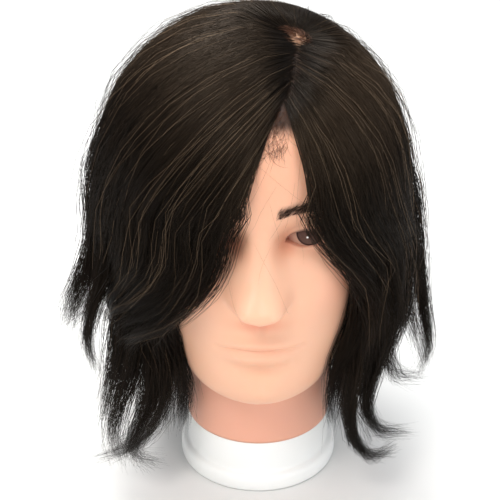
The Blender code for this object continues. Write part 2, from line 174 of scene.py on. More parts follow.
head = {
    "bottom": 0.0391,
    "top": 0.327,
    "equator": 0.245,
    "columns": 300,
    "rows": 312,
    "domeRows": 69,
    "setBack": 0.006,
    "domePower": 2.15,
    # Half width, reach forward and reach back of the plain head by height.
    "width": inMetres(
        (39.1, 52.5), (80, 52.5), (92, 54), (108, 59.5), (125, 63.6), (150, 69.2), (184, 73.2),
        (220, 75), (245, 76),
    ),
    "front": inMetres(
        (39.1, 52.5), (74, 52.5), (84, 56), (90, 70), (96, 86.5), (103, 93), (115, 96.2),
        (133, 98.5), (151, 101.2), (174, 102), (205, 96.5), (222, 95), (238, 99), (245, 99.8),
    ),
    "back": inMetres((39.1, 52.5), (80, 53), (110, 59), (150, 70), (195, 86.5), (245, 95)),
    # How square the front is by height: 2 is an ellipse.
    "power": (
        (0.0391, 2.0), (0.090, 1.92), (0.112, 1.92), (0.150, 2.05), (0.184, 2.22), (0.245, 2.3),
    ),
    # Where the rows lie closer: how much closer, at what height, over what reach.
    "finer": ((1.9, 0.2185, 0.0080), (1.3, 0.1790, 0.0060), (1.1, 0.1490, 0.0050)),
    # Height of the hairline by degrees round from the middle of the face.
    "hairline": (
        (0, 0.288), (20, 0.284), (40, 0.272), (55, 0.255), (65, 0.235), (75, 0.208),
        (85, 0.190), (95, 0.175), (110, 0.166), (140, 0.152), (180, 0.150),
    ),
}

face = {
    "mouth": 0.1466,
    "lipHalf": 0.0246,
    "eyeX": 0.0298,
    "eyeZ": 0.2185,
    "eyeBack": 0.0640,
    "eyeBall": 0.0218,
    "lid": 0.0015,
    "innerCorner": (0.0160, 0.2168),
    "outerCorner": (0.0430, 0.2195),
    "upperLid": 0.0056,
    "lowerLid": 0.0050,
    "crease": 0.0056,
    "earZ": 0.208,
    # Rises and hollows: how far out, then middle and reach, each across and up.
    "forms": inMetres(
        (3.0, 0, 111, 16, 9),  # chin
        (-4.0, 0, 130.3, 16, 5.2),  # under the lower lip
        (3.2, 41, 188, 16, 17),  # cheekbone
        (-1.6, 44, 155, 12, 16),  # cheek
        (-1.1, 26.5, 144.4, 3.5, 3.2),  # corner of the mouth
        (-0.7, 0, 164, 2.8, 6),  # groove over the lip
        (0.4, 5, 163, 2.2, 6),  # edge of the groove
        (1.4, 27, 242, 18, 9),  # brow ridge
        (-6.2, 28.5, 220, 16, 12),  # eye hollow
        (-4.4, 16, 218.5, 5.8, 8.5),  # inner corner of the eye
        (-1.4, 0, 226.5, 11, 9),  # bridge
    ),
    # Lower and upper lip: how far out, height from the mouth's line, reach.
    "lips": inMetres((3.4, -6.8, 5.4), (3.0, 5.2, 4.4)),
    # How far the nose stands out, and its half width, by height.
    "ridge": inMetres(
        (169, 0), (171.5, 1.2), (173.2, 4.5), (174.8, 12), (176.8, 19), (180, 22.8), (184, 23),
        (188.5, 20.7), (195, 16.8), (205, 12.5), (215, 9.2), (225, 6.2), (237, 2), (245, 0),
    ),
    "noseHalf": inMetres(
        (169, 15.8), (178, 17.8), (184, 17.6), (192, 15.4), (205, 13.1), (222, 10.6), (245, 12),
    ),
    # Middle height and half height of a brow across the face.
    "browMiddle": inMetres(
        (0, 239), (10, 240.6), (20, 243.4), (28, 244.1), (36, 242.8), (46, 238.5),
    ),
    "browHalf": inMetres((0, 3), (10, 3.2), (20, 3.5), (28, 3.4), (36, 2.4), (46, 0.6)),
}


def lidCurves(side):
    # Heights of the upper and lower lid edges across one eye, and how far past a corner.
    inner = face["innerCorner"]
    outer = face["outerCorner"]
    u = (side - inner[0]) / (outer[0] - inner[0])
    line = inner[1] + (outer[1] - inner[1]) * u
    inside = np.clip(u, 0.0, 1.0)
    upper = line + face["upperLid"] * np.sin(np.pi * inside**0.80) ** 0.85
    lower = line - face["lowerLid"] * np.sin(np.pi * inside**1.15) ** 0.95
    past = np.maximum(inner[0] - side, side - outer[0])
    return upper, lower, past


def lidDistance(side, z):
    # Below zero inside the eye's opening, above zero on the lids.
    upper, lower, past = lidCurves(side)
    return np.maximum(np.maximum(z - upper, lower - z), past)


def eyeSphere(side, z, radius):
    across = (side - face["eyeX"]) ** 2 + (z - face["eyeZ"]) ** 2
    bulge = np.sqrt(np.maximum(radius**2 - across, 1e-9))
    return face["eyeBack"] + np.where(across < radius**2, bulge, -0.2)


def faceForward(x, z, plain):
    # Forward place of the face's surface over the plain head.
    side = np.abs(x)
    mouth = face["mouth"]
    forward = plain + sum(out * hump(side, z, *spot) for out, *spot in face["forms"])
    lips = np.exp(-((side / 0.0195) ** 4))
    for out, up, reach in face["lips"]:
        forward += out * lips * np.exp(-(((z - mouth - up) / reach) ** 2))
    line = mouth - 0.0017 * (side / face["lipHalf"]) ** 2 - 0.0004 * np.cos(side / 0.0045)
    parted = np.exp(-((side / face["lipHalf"]) ** 10))
    forward -= 0.0015 * parted * np.exp(-(((z - line) / 0.0014) ** 2))

    # The nose, its wings and the hollows under it.
    droop = 0.0050 * np.minimum(side / 0.015, 1.3) ** 1.35 - 0.0006
    ridge = smoothCurve(face["ridge"], z - droop, 0.0013)
    spread = smoothCurve(face["noseHalf"], z)
    nose = ridge * np.exp(-((side / spread) ** (2.5 + 1.8 * smoothStep(0.197, 0.181, z))))
    nose += 0.0030 * hump(side, z, 0.0130, 0.1800, 0.0058, 0.0068)
    nose -= 0.0030 * hump(side, z, 0.0070, 0.1738, 0.0030, 0.0014)
    forward += nose

    # Lids over the eyeball, their crease and the opening between them.
    ball = eyeSphere(side, z, face["eyeBall"] + face["lid"])
    lids = softMax(forward, ball, 0.0009)
    crease = z - (lidCurves(side)[0] + face["crease"])
    lids -= 0.0009 * np.exp(-((crease / 0.0011) ** 2)) * hump(side, z, 0.030, 0.226, 0.012, 0.02)
    gap = lidDistance(side, z)
    eye = eyeSphere(side, z, face["eyeBall"]) - 0.0012
    near = smoothStep(-0.0003, 0.0004, gap)
    return np.where(gap < 0.0005, np.minimum(eye, lids) * (1 - near) + lids * near, lids)


def headRadius(angle, z):
    # Polar radius of the plain head about its own centre at each height.
    lift = np.clip((z - head["equator"]) / (head["top"] - head["equator"]), 0.0, 1.0)
    dome = np.maximum(1.0 - lift ** head["domePower"], 0.0) ** (1.0 / head["domePower"])
    level = np.minimum(z, head["equator"])
    width = smoothCurve(head["width"], level) * dome
    front = smoothCurve(head["front"], level, 0.0018) * dome
    back = smoothCurve(head["back"], level) * dome
    ahead = np.cos(angle) > 0.0
    power = smoothCurve(head["power"], level)
    power = np.where(ahead, power + (2.0 - power) * lift, 2.0)
    depth = np.where(ahead, front, back)
    across = (np.abs(np.sin(angle)) / np.maximum(width, 1e-6)) ** power
    along = (np.abs(np.cos(angle)) / np.maximum(depth, 1e-6)) ** power
    radius = (across + along) ** (-1.0 / power)
    return radius, -head["setBack"] * lift**2


def earForm(angle, z, forward):
    # How far the ear stands out from the side of the head.
    tilt = (z - face["earZ"]) * 0.22
    along = (forward + 0.003 + tilt) / 0.0165
    up = (z - face["earZ"]) / np.where(z > face["earZ"], 0.0300, 0.0310)
    rim = along**2 + up**2
    form = smoothStep(1.0, 0.60, rim)
    outer = 0.0095 - 0.0040 * along
    bowl = 0.0060 * np.exp(-(((along + 0.15) / 0.45) ** 2) - ((up + 0.12) / 0.42) ** 2)
    fold = 0.0018 * np.exp(-(((np.sqrt(rim) - 0.70) / 0.14) ** 2)) * smoothStep(-0.8, -0.3, up)
    return form * (outer - bowl - fold) * (np.abs(np.sin(angle)) > 0.8)


def headPlace(angle, z):
    radius, centre = headRadius(angle, z)
    forward = centre + radius * np.cos(angle)
    radius = radius + earForm(angle, z, forward)
    x = radius * np.sin(angle)
    forward = centre + radius * np.cos(angle)
    sculpted = faceForward(x, z, forward)
    share = smoothStep(0.02, 0.36, np.cos(angle)) * smoothStep(0.088, 0.098, z)
    forward = forward + (sculpted - forward) * share
    return x, -forward, z


def spacedRows():
    # Row heights from the crown down, closer together at the eyes, nose and mouth.
    dome = head["domeRows"]
    turn = np.linspace(0.5 * math.pi, 0.0, dome + 1)[1:]
    upper = head["equator"] + (head["top"] - head["equator"]) * np.sin(turn)
    fine = np.linspace(head["equator"], head["bottom"], 4000)
    weight = 0.55 + 0.5 * smoothStep(0.085, 0.105, fine)
    for closer, middle, reach in head["finer"]:
        weight += closer * np.exp(-(((fine - middle) / reach) ** 2))
    run = np.concatenate([[0.0], np.cumsum(0.5 * (weight[1:] + weight[:-1]))])
    lower = np.interp(np.linspace(0.0, run[-1], head["rows"] - dome)[1:], run, fine)
    return np.concatenate([[head["top"]], upper, lower])


def makeSkin():
    heights = spacedRows()
    rings = len(heights)
    bm = bmesh.new()
    bmesh.ops.create_uvsphere(bm, u_segments=head["columns"], v_segments=rings, radius=1.0)
    mesh = meshFrom(bm, "headSkin")
    count = len(mesh.vertices)
    co = np.empty(count * 3)
    mesh.vertices.foreach_get("co", co)
    co = co.reshape(-1, 3)
    ring = np.rint(np.arccos(np.clip(co[:, 2], -1, 1)) / math.pi * rings).astype(int)
    angle = np.arctan2(co[:, 0], -co[:, 1])
    angle -= 0.58 * np.sin(angle)
    z = heights[np.minimum(ring, rings - 1)]
    x, y, z = headPlace(angle, z)
    top = ring == 0
    x[top | (ring == rings)] = 0.0
    y[top] = head["setBack"]
    y[ring == rings] = 0.0
    co = np.stack([x, y, z], axis=1)
    mesh.vertices.foreach_set("co", co.ravel())
    mesh.update()
    outward(mesh)
    mesh.shade_smooth()
    side = np.abs(x)
    upper, lower, past = lidCurves(side)
    near = smoothStep(0.0006, -0.0006, past) * (y < -0.05)
    middle, half = browLine(side)
    browed = np.exp(-(((z - middle) / np.maximum(half, 1e-5)) ** 4)) * (y < -0.05)
    browed = browed * smoothStep(0.0080, 0.0120, side) * smoothStep(0.047, 0.041, side)
    marks = {
        "lash": np.exp(-(((z - upper - 0.0006) / (0.0009 + 0.034 * (side - 0.0160))) ** 2)) * near,
        "rim": np.exp(-(((z - lower) / 0.0008) ** 2)) * near,
        "brow": browed,
        "scalp": smoothStep(-0.004, 0.005, z - hairlineHeight(np.arctan2(x, -y))),
    }
    for name, values in marks.items():
        mark = mesh.attributes.new(name, "FLOAT", "POINT")
        mark.data.foreach_set("value", values)
    return placeObject("headSkin", mesh)


def hairlineHeight(angle):
    return smoothCurve(head["hairline"], np.degrees(np.abs(angle)), 3.0)


def browLine(side):
    return smoothCurve(face["browMiddle"], side, 0.002), smoothCurve(face["browHalf"], side, 0.002)


def outward(mesh):
    bm = bmesh.new()
    bm.from_mesh(mesh)
    bmesh.ops.recalc_face_normals(bm, faces=bm.faces[:])
    if bm.calc_volume(signed=True) < 0.0:
        bmesh.ops.reverse_faces(bm, faces=bm.faces[:])
    bm.to_mesh(mesh)
    bm.free()


class Nodes:
    # A little node kit: each call adds one node, or a few, and returns an output.

    def __init__(self, tree):
        self.tree = tree
        self.shader = tree.nodes.get("Principled BSDF")

    def add(self, kind, **values):
        node = self.tree.nodes.new(kind)
        for key, value in values.items():
            setattr(node, key, value)
        return node

    def put(self, sockets, values):
        for key, value in values.items():
            socket = sockets[key]
            if isinstance(value, bpy.types.NodeSocket):
                self.tree.links.new(value, socket)
            elif socket.type == "RGBA":
                socket.default_value = (*value, 1.0)
            else:
                socket.default_value = value

    def finish(self, values):
        self.put(self.shader.inputs, values)

    def group(self, tree, values):
        node = self.add("ShaderNodeGroup", node_tree=tree)
        self.put(node.inputs, values)
        return node.outputs

    def math(self, kind, a, b=0.5):
        node = self.add("ShaderNodeMath", operation=kind)
        self.put(node.inputs, {0: a, 1: b})
        return node.outputs[0]

    def times(self, a, b):
        return self.math("MULTIPLY", a, b)

    def away(self, a, b, x, y):
        # How far the place (a, b) is from (x, y), squared.
        across = self.math("SUBTRACT", a, x)
        up = self.math("SUBTRACT", b, y)
        return self.math("ADD", self.times(across, across), self.times(up, up))

    def ramp(self, value, low, high):
        node = self.add("ShaderNodeMapRange", clamp=True, interpolation_type="SMOOTHSTEP")
        self.put(node.inputs, {"Value": value, "From Min": low, "From Max": high})
        return node.outputs["Result"]

    def mix(self, share, a, b):
        node = self.add("ShaderNodeMix", data_type="RGBA")
        self.put(node.inputs, {"Factor": share, 6: a, 7: b})
        return node.outputs[2]

    def tint(self, colour, share, strength, other):
        return self.mix(self.times(share, strength), colour, other)

    def noise(self, vector, scale, detail=3.0, roughness=0.5):
        node = self.add("ShaderNodeTexNoise")
        self.put(node.inputs, {
            "Vector": vector, "Scale": scale, "Detail": detail, "Roughness": roughness,
        })
        return node.outputs["Fac"]

    def streak(self, value, scale, detail=2.0):
        # Noise along one number only.
        node = self.add("ShaderNodeTexNoise", noise_dimensions="1D")
        self.put(node.inputs, {"W": self.times(value, scale), "Scale": 1.0, "Detail": detail})
        return node.outputs["Fac"]

    def mark(self, name):
        node = self.add("ShaderNodeAttribute", attribute_name=name, attribute_type="GEOMETRY")
        return node.outputs["Fac"]

    def split(self, vector):
        node = self.add("ShaderNodeSeparateXYZ")
        self.put(node.inputs, {0: vector})
        return node.outputs

    def place(self):
        return self.add("ShaderNodeTexCoord").outputs["Object"]

    def blob(self, x, z, cx, cz, sx, sz):
        # A soft patch about one place on the face, 1 at its middle.
        across = self.math("DIVIDE", self.math("SUBTRACT", x, cx), sx)
        up = self.math("DIVIDE", self.math("SUBTRACT", z, cz), sz)
        far = self.math("ADD", self.times(across, across), self.times(up, up))
        return self.math("POWER", 2.718, self.times(far, -1.0))

    def grain(self, vector, gloss, fine, strength, depth):
        # Uneven gloss and a fine grain from the shared group, straight into the shader.
        given = dict(zip(("Gloss Scale", "Gloss Detail", "Lowest", "Spread"), gloss))
        given.update(zip(("Grain Scale", "Grain Bite"), fine))
        out = self.group(surfaceGrain, {"Vector": vector, **given})
        bump = self.add("ShaderNodeBump")
        self.put(bump.inputs, {
            "Strength": strength, "Distance": depth, "Height": out["Height"],
        })
        self.finish({"Roughness": out["Roughness"], "Normal": bump.outputs[0]})


def newGroup(name, floats, colours, outputs):
    # A node group with its named sockets: its kit, what it is given and what it puts out.
    tree = bpy.data.node_groups.new(name, "ShaderNodeTree")
    for label in floats:
        kind = "NodeSocketVector" if label == "Vector" else "NodeSocketFloat"
        tree.interface.new_socket(label, in_out="INPUT", socket_type=kind)
    for label in colours:
        tree.interface.new_socket(label, in_out="INPUT", socket_type="NodeSocketColor")
    for label, kind in outputs.items():
        tree.interface.new_socket(label, in_out="OUTPUT", socket_type=kind)
    kit = Nodes(tree)
    return kit, kit.add("NodeGroupInput").outputs, kit.add("NodeGroupOutput").inputs


def grainGroup():
    kit, given, out = newGroup(
        "surfaceGrain",
        ("Vector", "Gloss Scale", "Gloss Detail", "Lowest", "Spread", "Grain Scale", "Grain Bite"),
        (), {"Roughness": "NodeSocketFloat", "Height": "NodeSocketFloat"},
    )
    gloss = kit.noise(given["Vector"], given["Gloss Scale"], given["Gloss Detail"])
    kit.put(out, {
        "Roughness": kit.math("ADD", kit.times(gloss, given["Spread"]), given["Lowest"]),
        "Height": kit.noise(given["Vector"], given["Grain Scale"], 2.0, given["Grain Bite"]),
    })
    return kit.tree


surfaceGrain = grainGroup()

skinLook = {
    "light": (0.79, 0.455, 0.303),
    "dark": (0.77, 0.422, 0.278),
    # neck: painted shade under the chin, a darker, redder tone from the jaw down.
    "neck": (0.102, 0.080, 0.70, (0.79, 0.378, 0.272)),  # from, to, strength, colour
    # Painted shade of the hair on the upper face, deepening upward to the hairline.
    "foreheadHairShade": (0.215, 0.275, 0.42, (0.74, 0.33, 0.20)),
    # Patches: middle and reach, each across and up, then strength and colour.
    "cheekFlushAndShade": (
        # A cheek flush, made stronger as painted shade where the cheek turns to the side.
        (0.046, 0.185, 0.020, 0.026, 0.35, (0.82, 0.355, 0.235)),
        # Painted shade at the edge of the face, where it turns away from the light.
        (0.062, 0.190, 0.012, 0.032, 0.40, (0.70, 0.27, 0.17)),
    ),
    "features": (
        (0.0165, 0.2165, 0.0080, 0.0075, 0.60, (0.58, 0.17, 0.085)),  # inner corner of the eye: painted shade in its hollow
        (0.0400, 0.2130, 0.0085, 0.0055, 0.40, (0.60, 0.20, 0.11)),  # under the eye
        (0.0, 0.1652, 0.0150, 0.0042, 0.70, (0.74, 0.27, 0.17)),  # painted shade under the nose
        (0.0, 0.1450, 0.0200, 0.0080, 0.16, (0.83, 0.33, 0.24)),  # lips
    ),
    # Painted marks kept as attributes: strength and colour.
    "rim": (0.45, (0.62, 0.24, 0.17)),
    "lash": (0.85, (0.055, 0.026, 0.020)),
    "brow": (0.52, (0.040, 0.020, 0.014)),
    "whorl": (0.0240, -0.0110, 0.0120, 0.0130),
    "roots": ((0.020, 0.012, 0.009), (0.085, 0.042, 0.026), (0.31, 0.165, 0.092)),
}


def skinMaterial():
    material = newMaterial("softSkin")
    kit = Nodes(material.node_tree)
    place = kit.place()
    x, y, z = kit.split(place)
    side = kit.math("ABSOLUTE", x)
    look = skinLook
    base = kit.mix(kit.noise(place, 18.0), look["light"], look["dark"])
    # The neck, forehead and cheek bands and the patches at the inner eye corners and under the nose
    # put painted shade into the skin's colour; the lips patch is the lips' own tone.
    for band, patches in (("neck", "cheekFlushAndShade"), ("foreheadHairShade", "features")):
        low, high, *tone = look[band]
        base = kit.tint(base, kit.ramp(z, low, high), *tone)
        for *spot, strength, colour in look[patches]:
            base = kit.tint(base, kit.blob(side, z, *spot), strength, colour)
    browed = kit.times(kit.mark("brow"), kit.ramp(side, 0.0085, 0.0130))
    base = kit.tint(base, browed, *look["brow"])
    for name in ("rim", "lash"):
        base = kit.tint(base, kit.mark(name), *look[name])
    rootDark, rootLight, bare = look["roots"]
    rooted = kit.mix(kit.noise(place, 420.0, 2.0), rootDark, rootLight)
    rooted = kit.mix(kit.ramp(kit.blob(x, y, *look["whorl"]), 0.15, 0.50), rooted, bare)
    kit.finish({
        "Base Color": kit.mix(kit.mark("scalp"), base, rooted),
        "Subsurface Weight": 0.18,
        "Subsurface Radius": (1.0, 0.45, 0.25),
        "Subsurface Scale": 0.006,
        "Specular IOR Level": 0.38,
    })
    kit.grain(place, (260.0, 2.0, 0.40, 0.10), (900.0, 0.6), 0.06, 0.0004)
    return material


skin = makeSkin()
skin.data.materials.append(skinMaterial())
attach(skin, "root")
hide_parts("skin_shell")
print("stage: head skin", len(skin.data.polygons))

eyes = {
    "iris": (0.0307, 0.2215),
    "irisRadius": 0.0083,
    "highlightDot": (0.0292, 0.2190),
    "middle": (0.0290, 0.2185),
    "reach": (0.0155, 0.0085),
    "thickness": 0.0009,
}


def eyeMaterial():
    material = newMaterial("paintedEye")
    kit = Nodes(material.node_tree)
    place = kit.place()
    x, _, z = kit.split(place)
    side = kit.math("ABSOLUTE", x)
    radius = eyes["irisRadius"]
    far = kit.math("SQRT", kit.away(side, z, *eyes["iris"]))
    highlightFar = kit.math("SQRT", kit.away(side, z, *eyes["highlightDot"]))
    # below is 1 on the lower iris, which turns lighter; the darker upper iris is painted shade from
    # the upper lid.
    below = kit.ramp(kit.math("SUBTRACT", z, eyes["iris"][1]), 0.001, -0.006)
    white = kit.mix(kit.noise(place, 260.0), (0.50, 0.275, 0.195), (0.58, 0.345, 0.255))
    white = kit.tint(white, kit.ramp(side, 0.0215, 0.0165), 0.6, (0.62, 0.22, 0.17))
    iris = kit.mix(kit.noise(place, 700.0, 3.0, 0.7), (0.070, 0.033, 0.026), (0.135, 0.068, 0.053))
    iris = kit.tint(iris, below, 0.55, (0.110, 0.058, 0.042))
    iris = kit.tint(iris, kit.ramp(far, 0.0027, 0.0020), 0.5, (0.016, 0.010, 0.009))
    iris = kit.mix(kit.ramp(far, radius - 0.0016, radius - 0.0004), iris, (0.030, 0.012, 0.010))
    colour = kit.mix(kit.ramp(far, radius + 0.0003, radius - 0.0002), white, iris)
    # A white dot in the iris: a painted highlight, printed on the eye.
    colour = kit.mix(kit.ramp(highlightFar, 0.00085, 0.00050), colour, (0.95, 0.95, 0.93))
    kit.finish({"Base Color": colour, "Roughness": 0.20, "Specular IOR Level": 0.12})
    return material


def makeEye(name, sign, material):
    # A thin painted cap that lies on the eyeball, behind the lids.
    bm = bmesh.new()
    bmesh.ops.create_grid(bm, x_segments=70, y_segments=40, size=1.0)
    for vert in bm.verts:
        side = eyes["middle"][0] + eyes["reach"][0] * vert.co.x
        z = eyes["middle"][1] + eyes["reach"][1] * vert.co.y
        across = (side - face["eyeX"]) ** 2 + (z - face["eyeZ"]) ** 2
        forward = face["eyeBack"] + math.sqrt(max(face["eyeBall"] ** 2 - across, 1e-6))
        vert.co = (sign * side, -forward, z)
    bmesh.ops.solidify(bm, geom=bm.faces[:], thickness=eyes["thickness"])
    mesh = meshFrom(bm, name)
    outward(mesh)
    mesh.shade_smooth()
    mesh.materials.append(material)
    eye = placeObject(name, mesh)
    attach(eye, "root")


paintedEye = eyeMaterial()
makeEye("eyeLeft", 1.0, paintedEye)
makeEye("eyeRight", -1.0, paintedEye)
print("stage: eyes")

base = {
    "wall": 0.0522,
    "top": 0.0388,
    "flange": 0.0582,
    "flangeTop": 0.0137,
    "segments": 160,
    # The moulded outline: the sizes it is measured out and up from, then steps in mm.
    "outline": (
        ("wall", "top", (-7.2, 8), (-5.5, 8), (-5.3, 0.4), (-0.8, 0.2), (-0.2, -0.3), (0, -1.2)),
        ("wall", "flangeTop", (0.3, 2.2), (0.6, 0.6), (1.4, -0.1)),
        ("flange", "flangeTop", (-3.2, -0.6), (-1.6, -1.4), (-0.6, -2.8), (-0.1, -4.8), (0, -7)),
        ("flange", "floor", (0, 2.6), (-0.4, 1.2), (-1.2, 0.3), (-2.2, 0)),
        ("axis", "floor", (45.4, 0), (45.2, 3)),
        ("wall", "floor", (-2.6, 3.2)),
        ("wall", "top", (-2.8, -3)),
        ("axis", "top", (19, -3), (19, 0.4)),
        ("wall", "top", (-7.8, 0.4)),
    ),
}


def basePlastic():
    material = newMaterial("basePlastic")
    kit = Nodes(material.node_tree)
    place = kit.place()
    kit.finish({
        "Base Color": kit.mix(kit.noise(place, 30.0, 4.0), (0.86, 0.86, 0.83), (0.89, 0.89, 0.87)),
        "Subsurface Weight": 0.1,
        "Subsurface Radius": (1.0, 0.9, 0.8),
        "Subsurface Scale": 0.003,
    })
    kit.grain(place, (120.0, 3.0, 0.30, 0.12), (500.0, 0.5), 0.03, 0.0003)
    return material


def makeBase():
    # The outline of the moulded base, spun about the axis.
    outline = []
    for out, up, *steps in base["outline"]:
        for a, b in inMetres(*steps):
            outline.append((base.get(out, 0.0) + a, base.get(up, 0.0) + b))
    bm = bmesh.new()
    verts = [bm.verts.new((r, 0.0, z)) for r, z in outline]
    edges = [bm.edges.new((a, b)) for a, b in zip(verts, verts[1:] + verts[:1])]
    bmesh.ops.spin(
        bm, geom=verts + edges, cent=(0, 0, 0), axis=(0, 0, 1), dvec=(0, 0, 0),
        angle=2.0 * math.pi, steps=base["segments"], use_merge=True,
    )
    bmesh.ops.remove_doubles(bm, verts=bm.verts[:], dist=0.00001)
    mesh = meshFrom(bm, "baseCollar")
    outward(mesh)
    mesh.shade_smooth()
    mesh.set_sharp_from_angle(angle=math.radians(50.0))
    mesh.materials.append(basePlastic())
    item = placeObject("baseCollar", mesh)
    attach(item, "root")
    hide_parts("base_collar")


makeBase()
print("stage: base")


hair = {
    "count": 18000,
    "locks": 300,
    "points": 13,
    "radius": 0.00017,
    "perPiece": 2700,
    "rightShare": 0.53,  # of the hair that falls to the right of the part
    "lift": 0.032,
    "rise": 0.0930,
    "halfWidth": 0.1385,
    "overSkull": 0.100,  # radius that turns an angle over the skull into a length
    "rootsBelow": 0.060,
    "bareWhorl": 0.0090,
    "strayDegrees": 7.5,
    "gather": 0.68,
    "lockTips": 0.015,
    "tipSpread": 0.012,
    "swing": 0.0042,
    "curlLength": 0.065,
    "flip": (0.0030, 0.0060),
    "twist": 0.0100,
    "waver": (0.0002, 0.0019),
    "colours": ((0.0020, 0.0013, 0.0010), (0.0098, 0.0058, 0.0038), (0.135, 0.090, 0.056)),
    "paleColours": ((0.10, 0.064, 0.038), (0.26, 0.18, 0.115), (0.34, 0.25, 0.17)),
    "domePower": 1.90,
    "whorl": (0.0245, 0.017, 0.080),
    "partFront": (0.0165, 0.079, 0.060),
    "hairlineFront": (0.0025, 0.094, 0.043),
    # Reach of the outside of the hair by height: right, left, ahead and behind.
    "reachRight": inMetres(
        (0, 98), (30, 106), (50, 107), (70, 103), (86, 98), (100, 95), (120, 98), (140, 108),
        (182, 111), (213, 110), (245, 106),
    ),
    "reachLeft": inMetres(
        (0, 78), (40, 80), (60, 88), (95, 89), (110, 93), (127, 101), (150, 106), (180, 106),
        (213, 102), (245, 97),
    ),
    "reachAhead": inMetres((0, 80), (60, 88), (120, 96), (180, 102), (245, 106)),
    "reachBehind": inMetres((0, 96), (40, 110), (90, 122), (140, 122), (245, 114)),
    # Reach of the innermost hair where it hangs clear of the neck.
    "reachInner": inMetres((0, 74), (30, 66), (60, 60), (100, 60), (150, 0), (245, 0)),
    # Angle of the front edge from the middle of the face, in degrees by height in mm.
    "edgeRightOuter": inMetres(
        (20, 66), (100, 64), (120, 60), (140, 51), (150, 43), (160, 33), (172, 26), (180, 20),
        (198, 13), (212, 11), (228, 11), (245, 4.5), units=(1000.0, 1.0),
    ),
    "edgeRightInner": inMetres(
        (20, 50), (60, 47), (100, 44), (150, 41), (200, 30), (245, 18), units=(1000.0, 1.0),
    ),
    "edgeLeftOuter": inMetres(
        (20, 59), (90, 54), (120, 49), (147, 45), (169, 41), (184, 38.5), (196, 34), (222, 22),
        (245, 15.5), units=(1000.0, 1.0),
    ),
    "edgeLeftInner": inMetres(
        (20, 50), (40, 46), (80, 40), (120, 40), (147, 45), (196, 38), (245, 26),
        units=(1000.0, 1.0),
    ),
    # Heights of the tips in mm by angle: outer layer, then the hair underneath.
    "tipsOuter": inMetres(
        (0, 138), (20, 116), (45, 90), (90, 66), (130, 54), (180, 50), units=(1.0, 1000.0),
    ),
    "tipsInner": inMetres(
        (0, 36), (30, 26), (60, 18), (90, 16), (130, 16), (180, 16), units=(1.0, 1000.0),
    ),
}

# Locks that stand away from the rest: side, place round the head, layer, reach of the roots,
# width, strands, spread in mm, then places down to the tip as x, forward and height in mm.
looseLocks = {
    "cheekRight": (
        -1, 0.02, 0.40, 0.60, 0.022, 520, 5.0,
        (-60, 52, 122), (-56, 46, 101), (-54, 40, 84), (-53, 36, 70), (-52.5, 36, 57),
        (-57, 38, 43),
    ),
    "bigFlickRight": (
        -1, 0.37, 0.98, 0.10, 0.035, 520, 6.6,
        (-106, 20, 214), (-106, 25, 198), (-113, 32, 176), (-123, 36, 158), (-129, 38, 140),
        (-131, 38, 121),
    ),
    "upturnedFlickRight": (
        -1, 0.31, 0.97, 0.12, 0.035, 380, 6.0,
        (-103, 30, 190), (-109, 40, 162), (-117, 44, 146), (-126, 45, 136), (-133, 43, 141),
    ),
    "longFlickRight": (
        -1, 0.25, 0.92, 0.20, 0.018, 380, 3.4,
        (-98, 45, 192), (-103, 50, 174), (-108, 52, 156), (-114, 52, 141), (-117, 52, 124),
        (-115, 50, 108), (-111, 48, 94),
    ),
    "outerHangRight": (
        -1, 0.16, 0.60, 0.55, 0.030, 340, 6.2,
        (-93, 42, 135), (-101, 40, 95), (-108, 38, 68), (-112, 35, 44),
    ),
    "innerHangRight": (
        -1, 0.12, 0.50, 0.60, 0.030, 320, 5.8,
        (-87, 50, 112), (-97, 50, 75), (-104, 50, 50), (-103, 50, 30), (-94, 50, 18),
    ),
    "hookRight": (
        -1, 0.08, 0.40, 0.60, 0.030, 260, 4.6,
        (-73, 60, 94), (-84, 60, 62), (-91, 62, 43), (-88, 63, 32), (-77, 63, 27), (-66, 62, 33),
    ),
    "lowSweepRight": (
        -1, 0.05, 0.32, 0.60, 0.030, 260, 5.2,
        (-64, 60, 94), (-75, 62, 60), (-88, 60, 43), (-103, 55, 32), (-119, 50, 24),
    ),
    "longFlickLeft": (
        1, 0.37, 0.98, 0.12, 0.022, 330, 4.0,
        (105, 0, 205), (109, 10, 172), (114, 15, 142), (119, 18, 117), (122, 20, 98),
        (119, 20, 84), (114, 20, 76),
    ),
    "outerHangLeft": (
        1, 0.27, 0.95, 0.20, 0.022, 240, 5.2,
        (101, 20, 150), (106, 30, 128), (113, 35, 110), (117, 35, 96),
    ),
    "upturnedFlickLeft": (
        1, 0.21, 0.80, 0.40, 0.026, 260, 5.0,
        (98, 30, 146), (94, 30, 120), (88, 35, 100), (94, 40, 89), (107, 40, 85), (120, 35, 88),
    ),
    "lowSweepLeft": (
        1, 0.10, 0.62, 0.55, 0.028, 300, 4.0,
        (85, 50, 134), (79, 50, 100), (74, 50, 71), (80, 50, 53), (92, 50, 44), (111, 45, 45),
    ),
    "hookLeft": (
        1, 0.03, 0.50, 0.60, 0.024, 300, 3.0,
        (65, 68, 106), (62, 69, 81), (64, 68, 58), (73, 66, 41), (86, 64, 33), (95, 60, 38),
        (96, 58, 48),
    ),
    "cheekLeft": (
        1, 0.01, 0.40, 0.60, 0.020, 240, 3.6,
        (64, 62, 140), (54, 64, 117), (50, 61, 94), (50, 56, 69), (55, 50, 50),
    ),
}


